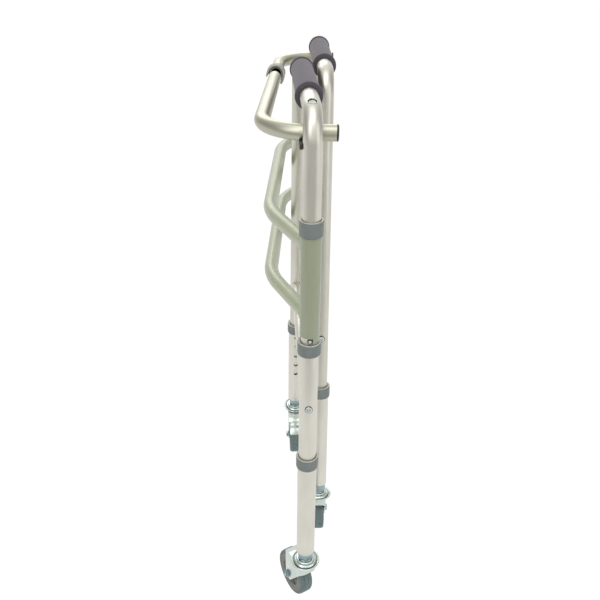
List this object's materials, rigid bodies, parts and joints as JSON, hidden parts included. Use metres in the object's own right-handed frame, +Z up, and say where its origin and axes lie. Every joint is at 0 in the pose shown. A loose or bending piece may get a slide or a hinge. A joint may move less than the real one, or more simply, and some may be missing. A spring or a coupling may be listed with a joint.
{
  "type": "folding four-wheel walker",
  "caption": "Folding walker with swing-in side frames on a bowed front brace, padded hand grips, height-adjustable legs and swivel castors, shown folded.",
  "frame": {"origin": "centre of the folded walker's bounding box in X and Y, at floor level", "axes": "+Z up; +Y along the front brace from the left hinge to the right hinge; +X to the walker's rear, where the user stands"},
  "size_m": [0.1334, 0.6974, 0.9074],
  "materials": {
    "brushed_aluminium": "satin, warm light grey, anodised",
    "green_paint": "grey-green metallic paint, semi-gloss",
    "grey_plastic": "mid grey moulded plastic, matt",
    "grip_rubber": "dark grey-violet vinyl, matt",
    "black_plastic": "black moulded plastic",
    "zinc_plate": "bright bluish zinc plating",
    "wheel_core": "grey-brown moulded plastic",
    "tyre_rubber": "grey-teal rubber tread"
  },
  "bodies": {
    "front_brace": {"left_hinge_sleeve": "green_paint", "right_hinge_sleeve": "green_paint", "upper_front_bar": "green_paint", "lower_front_bar": "green_paint", "top_bar_left_half": "brushed_aluminium", "top_bar_right_half": "brushed_aluminium", "top_bar_saddle": "grey_plastic", "left_top_bar_cap": "black_plastic", "right_top_bar_cap": "black_plastic", "left_top_bar_bracket": "black_plastic", "right_top_bar_bracket": "black_plastic"},
    "left_side_frame": {"left_frame_tube": "brushed_aluminium", "left_grip": "grip_rubber", "left_side_brace": "brushed_aluminium", "left_tie_rod": "zinc_plate", "left_front_leg_extension": "brushed_aluminium", "left_upper_collar": "grey_plastic", "left_lower_collar": "grey_plastic"},
    "left_lock_button": {"left_fold_lock_button": "zinc_plate"},
    "left_front_leg": {"left_front_lower_leg": "brushed_aluminium", "left_front_leg_collar": "grey_plastic", "left_front_castor_stem": "zinc_plate"},
    "left_front_button": {"left_front_height_button": "zinc_plate"},
    "left_front_castor": {"left_front_fork": "zinc_plate", "left_front_axle_bolt": "zinc_plate"},
    "left_front_wheel": {"left_front_wheel_core": "wheel_core", "left_front_tyre": "tyre_rubber"},
    "left_rear_leg": {"left_rear_lower_leg": "brushed_aluminium", "left_rear_leg_collar": "grey_plastic", "left_rear_castor_stem": "zinc_plate"},
    "left_rear_button": {"left_rear_height_button": "zinc_plate"},
    "left_rear_castor": {"left_rear_fork": "zinc_plate", "left_rear_axle_bolt": "zinc_plate"},
    "left_rear_wheel": {"left_rear_wheel_core": "wheel_core", "left_rear_tyre": "tyre_rubber"},
    "right_side_frame": {"right_frame_tube": "brushed_aluminium", "right_grip": "grip_rubber", "right_side_brace": "brushed_aluminium", "right_tie_rod": "zinc_plate", "right_front_leg_extension": "brushed_aluminium", "right_upper_collar": "grey_plastic", "right_lower_collar": "grey_plastic"},
    "right_lock_button": {"right_fold_lock_button": "zinc_plate"},
    "right_front_leg": {"right_front_lower_leg": "brushed_aluminium", "right_front_leg_collar": "grey_plastic", "right_front_castor_stem": "zinc_plate"},
    "right_front_button": {"right_front_height_button": "zinc_plate"},
    "right_front_castor": {"right_front_fork": "zinc_plate", "right_front_axle_bolt": "zinc_plate"},
    "right_front_wheel": {"right_front_wheel_core": "wheel_core", "right_front_tyre": "tyre_rubber"},
    "right_rear_leg": {"right_rear_lower_leg": "brushed_aluminium", "right_rear_leg_collar": "grey_plastic", "right_rear_castor_stem": "zinc_plate"},
    "right_rear_button": {"right_rear_height_button": "zinc_plate"},
    "right_rear_castor": {"right_rear_fork": "zinc_plate", "right_rear_axle_bolt": "zinc_plate"},
    "right_rear_wheel": {"right_rear_wheel_core": "wheel_core", "right_rear_tyre": "tyre_rubber"}
  },
  "joints": [
    {"name": "left_frame_fold", "type": "hinge", "parent": "front_brace", "child": "left_side_frame", "pos_m": [0.02019, -0.32401, 0], "axis": [0, 0, -1], "range_deg": [0, 43.6]},
    {"name": "left_lock_button_press", "type": "slide", "parent": "left_side_frame", "child": "left_lock_button", "axis": [-0.0767, 0.9971, 0], "range_m": [0, 0.003], "stiffness_N_per_m": 600},
    {"name": "left_front_leg_height", "type": "slide", "parent": "left_side_frame", "child": "left_front_leg", "axis": [0, 0, 1], "range_m": [-0.0254, 0.0508]},
    {"name": "left_front_height_button_press", "type": "slide", "parent": "left_front_leg", "child": "left_front_button", "axis": [0.0767, -0.9971, 0], "range_m": [0, 0.003], "stiffness_N_per_m": 600},
    {"name": "left_front_castor_swivel", "type": "hinge", "parent": "left_front_leg", "child": "left_front_castor", "pos_m": [0.02019, -0.32401, 0], "axis": [0, 0, 1], "continuous": true},
    {"name": "left_front_wheel_spin", "type": "hinge", "parent": "left_front_castor", "child": "left_front_wheel", "pos_m": [0.0027, -0.29602, 0.04124], "axis": [-0.848, -0.5299, 0], "continuous": true},
    {"name": "left_rear_leg_height", "type": "slide", "parent": "left_side_frame", "child": "left_rear_leg", "axis": [0.0091, -0.1187, 0.9929], "range_m": [-0.0254, 0.0508]},
    {"name": "left_rear_height_button_press", "type": "slide", "parent": "left_rear_leg", "child": "left_rear_button", "axis": [-0.0762, 0.99, 0.1191], "range_m": [0, 0.003], "stiffness_N_per_m": 600},
    {"name": "left_rear_castor_swivel", "type": "hinge", "parent": "left_rear_leg", "child": "left_rear_castor", "pos_m": [-0.01456, 0.12753, 0.00422], "axis": [0.0091, -0.1187, 0.9929], "continuous": true},
    {"name": "left_rear_wheel_spin", "type": "hinge", "parent": "left_rear_castor", "child": "left_rear_wheel", "pos_m": [-0.01167, 0.08997, 0.04124], "axis": [0.9971, 0.0767, 0], "continuous": true},
    {"name": "right_frame_fold", "type": "hinge", "parent": "front_brace", "child": "right_side_frame", "pos_m": [0.02019, 0.27599, 0], "axis": [0, 0, 1], "range_deg": [0, 87.2]},
    {"name": "right_lock_button_press", "type": "slide", "parent": "right_side_frame", "child": "right_lock_button", "axis": [0.0489, -0.9988, 0], "range_m": [0, 0.003], "stiffness_N_per_m": 600},
    {"name": "right_front_leg_height", "type": "slide", "parent": "right_side_frame", "child": "right_front_leg", "axis": [0, 0, 1], "range_m": [-0.0254, 0.0508]},
    {"name": "right_front_height_button_press", "type": "slide", "parent": "right_front_leg", "child": "right_front_button", "axis": [-0.0489, 0.9988, 0], "range_m": [0, 0.003], "stiffness_N_per_m": 600},
    {"name": "right_front_castor_swivel", "type": "hinge", "parent": "right_front_leg", "child": "right_front_castor", "pos_m": [0.02019, 0.27599, 0], "axis": [0, 0, 1], "continuous": true},
    {"name": "right_front_wheel_spin", "type": "hinge", "parent": "right_front_castor", "child": "right_front_wheel", "pos_m": [0.03148, 0.307, 0.04124], "axis": [-0.9397, 0.342, 0], "continuous": true},
    {"name": "right_rear_leg_height", "type": "slide", "parent": "right_side_frame", "child": "right_rear_leg", "axis": [-0.0058, 0.119, 0.9929], "range_m": [-0.0254, 0.0508]},
    {"name": "right_rear_height_button_press", "type": "slide", "parent": "right_rear_leg", "child": "right_rear_button", "axis": [0.0485, -0.9917, 0.1191], "range_m": [0, 0.003], "stiffness_N_per_m": 600},
    {"name": "right_rear_castor_swivel", "type": "hinge", "parent": "right_rear_leg", "child": "right_rear_castor", "pos_m": [0.04231, -0.17634, 0.00422], "axis": [-0.0058, 0.119, 0.9929], "continuous": true},
    {"name": "right_rear_wheel_spin", "type": "hinge", "parent": "right_rear_castor", "child": "right_rear_wheel", "pos_m": [0.04047, -0.1387, 0.04124], "axis": [-0.9988, -0.0489, 0], "continuous": true}
  ],
  "couplings": [
    {"joint": "left_frame_fold", "follows": "right_frame_fold", "ratio": 0.5}
  ]
}
